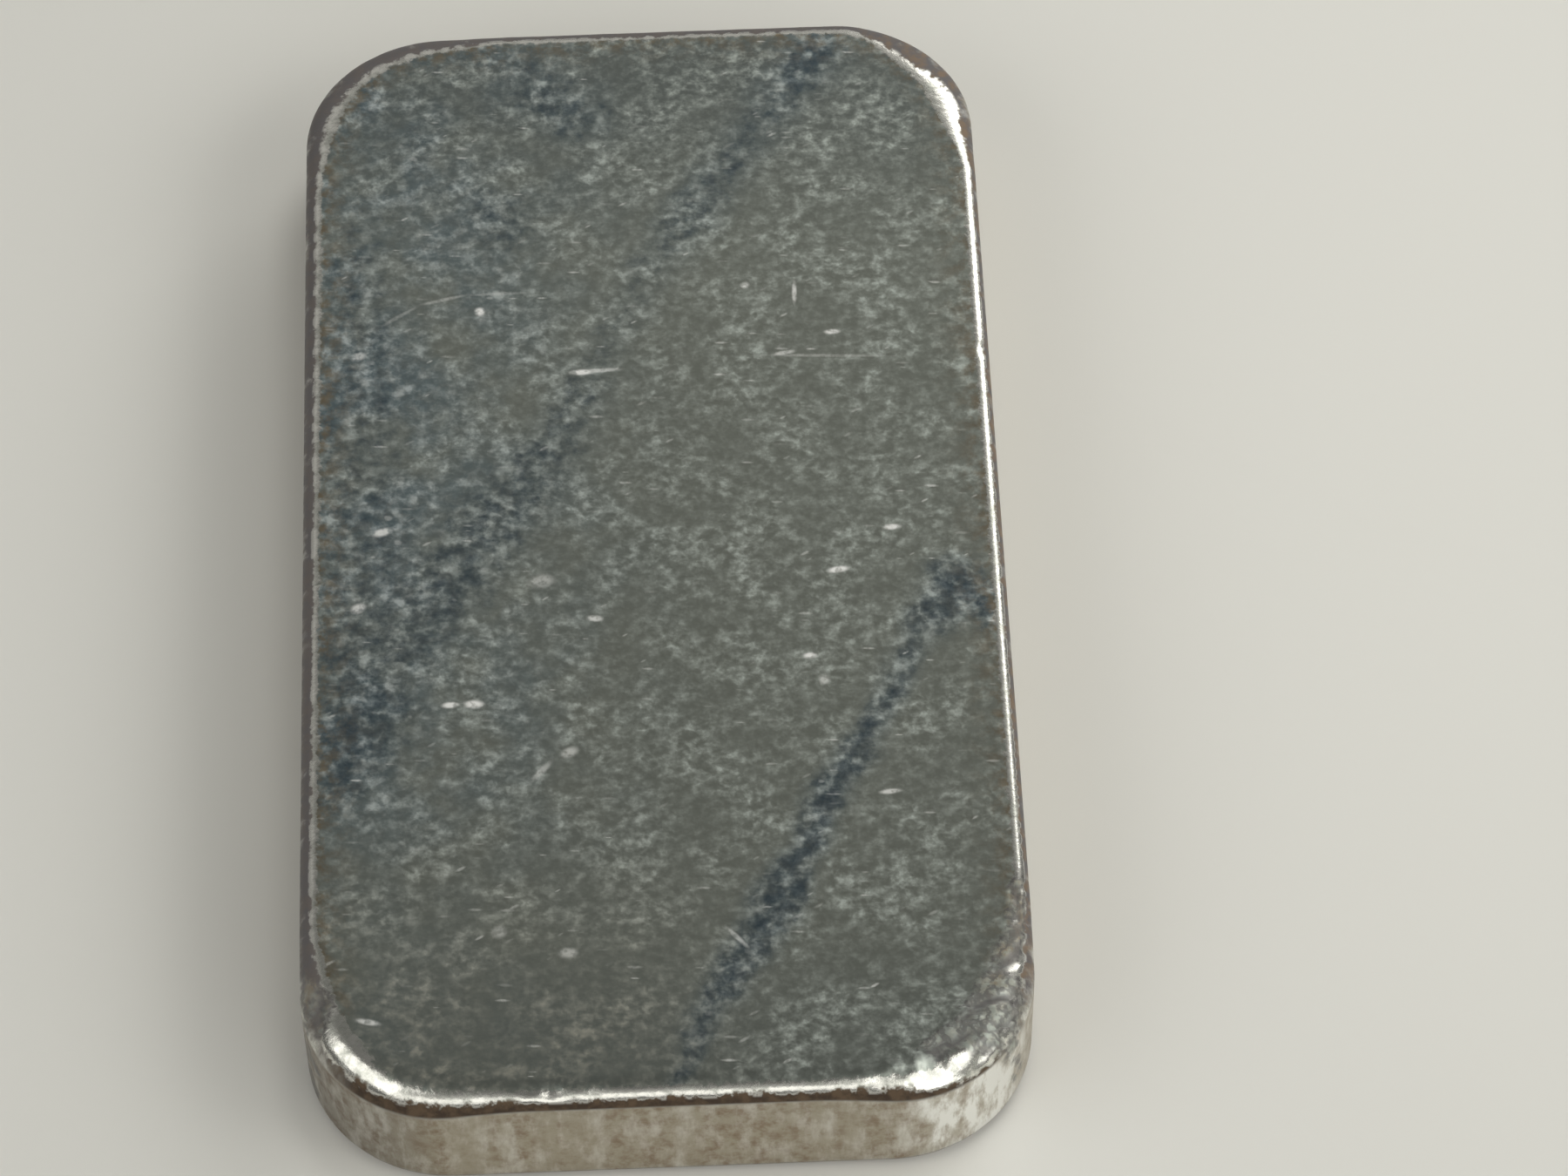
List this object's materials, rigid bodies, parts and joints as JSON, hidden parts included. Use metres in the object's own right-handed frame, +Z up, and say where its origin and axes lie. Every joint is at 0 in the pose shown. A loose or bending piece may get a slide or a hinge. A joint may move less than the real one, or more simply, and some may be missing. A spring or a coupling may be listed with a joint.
{
  "type": "silver bar",
  "caption": "Plain pressed silver bar with a bare face, round corners and softly rolled edges, kept as raw stock and stacked flat.",
  "frame": {"origin": "centre of the underside, on the surface that the bar lies on", "axes": "+X across the width, +Y along the length, +Z up through the thickness"},
  "size_m": [0.0426, 0.08, 0.0089],
  "materials": {
    "silver": "toned and scuffed bare silver"
  },
  "bodies": {
    "root": {"silver_bar": "silver"}
  },
  "joints": []
}
